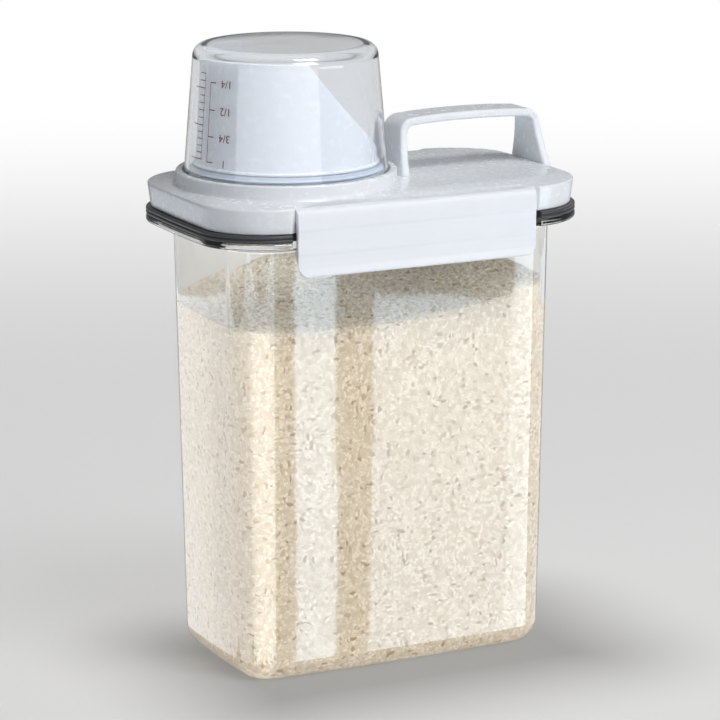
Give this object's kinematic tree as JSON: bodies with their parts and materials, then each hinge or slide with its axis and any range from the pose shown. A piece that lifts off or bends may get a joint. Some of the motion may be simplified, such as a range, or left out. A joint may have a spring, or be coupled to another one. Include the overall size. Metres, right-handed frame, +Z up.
{
  "type": "rice bin",
  "caption": "Tall clear rectangular rice bin with a locking white lid, strap handle, slant-cut pouring spout and a clear measuring cup as its cap.",
  "frame": {"origin": "centre of the bin's underside, on the surface that it stands on", "axes": "+Z up; +X along the long side, from the spout towards the handle; the pictured flap faces -Y"},
  "size_m": [0.1656, 0.1054, 0.253],
  "materials": {
    "clear_bin": "clear polished moulding",
    "rice": "loose grain",
    "dark_silicone": "satin",
    "white_lid": "polished moulding",
    "white_flap": "satin moulding",
    "white_spout": "satin moulding",
    "pale_silicone": "satin",
    "clear_cup": "clear polished moulding"
  },
  "bodies": {
    "bin": {"bin_body": "clear_bin", "rice_fill": "rice"},
    "lid": {"lid": "white_lid", "lid_gasket": "dark_silicone", "pour_spout": "white_spout", "spout_seal": "dark_silicone", "cup_seal": "pale_silicone"},
    "front_flap": {"front_flap": "white_flap"},
    "rear_flap": {"rear_flap": "white_flap"},
    "cup": {"measuring_cup": "clear_cup"}
  },
  "joints": [
    {"name": "lid_lift", "type": "slide", "parent": "bin", "child": "lid", "axis": [0, 0, 1], "range_m": [0, 0.06]},
    {"name": "front_flap_hinge", "type": "hinge", "parent": "lid", "child": "front_flap", "pos_m": [0, -0.0484, 0.1933], "axis": [-1, 0, 0], "range_deg": [0, 115]},
    {"name": "rear_flap_hinge", "type": "hinge", "parent": "lid", "child": "rear_flap", "pos_m": [0, 0.0484, 0.1933], "axis": [1, 0, 0], "range_deg": [0, 115]},
    {"name": "cup_lift", "type": "slide", "parent": "lid", "child": "cup", "axis": [0, 0, 1], "range_m": [0, 0.06]}
  ]
}
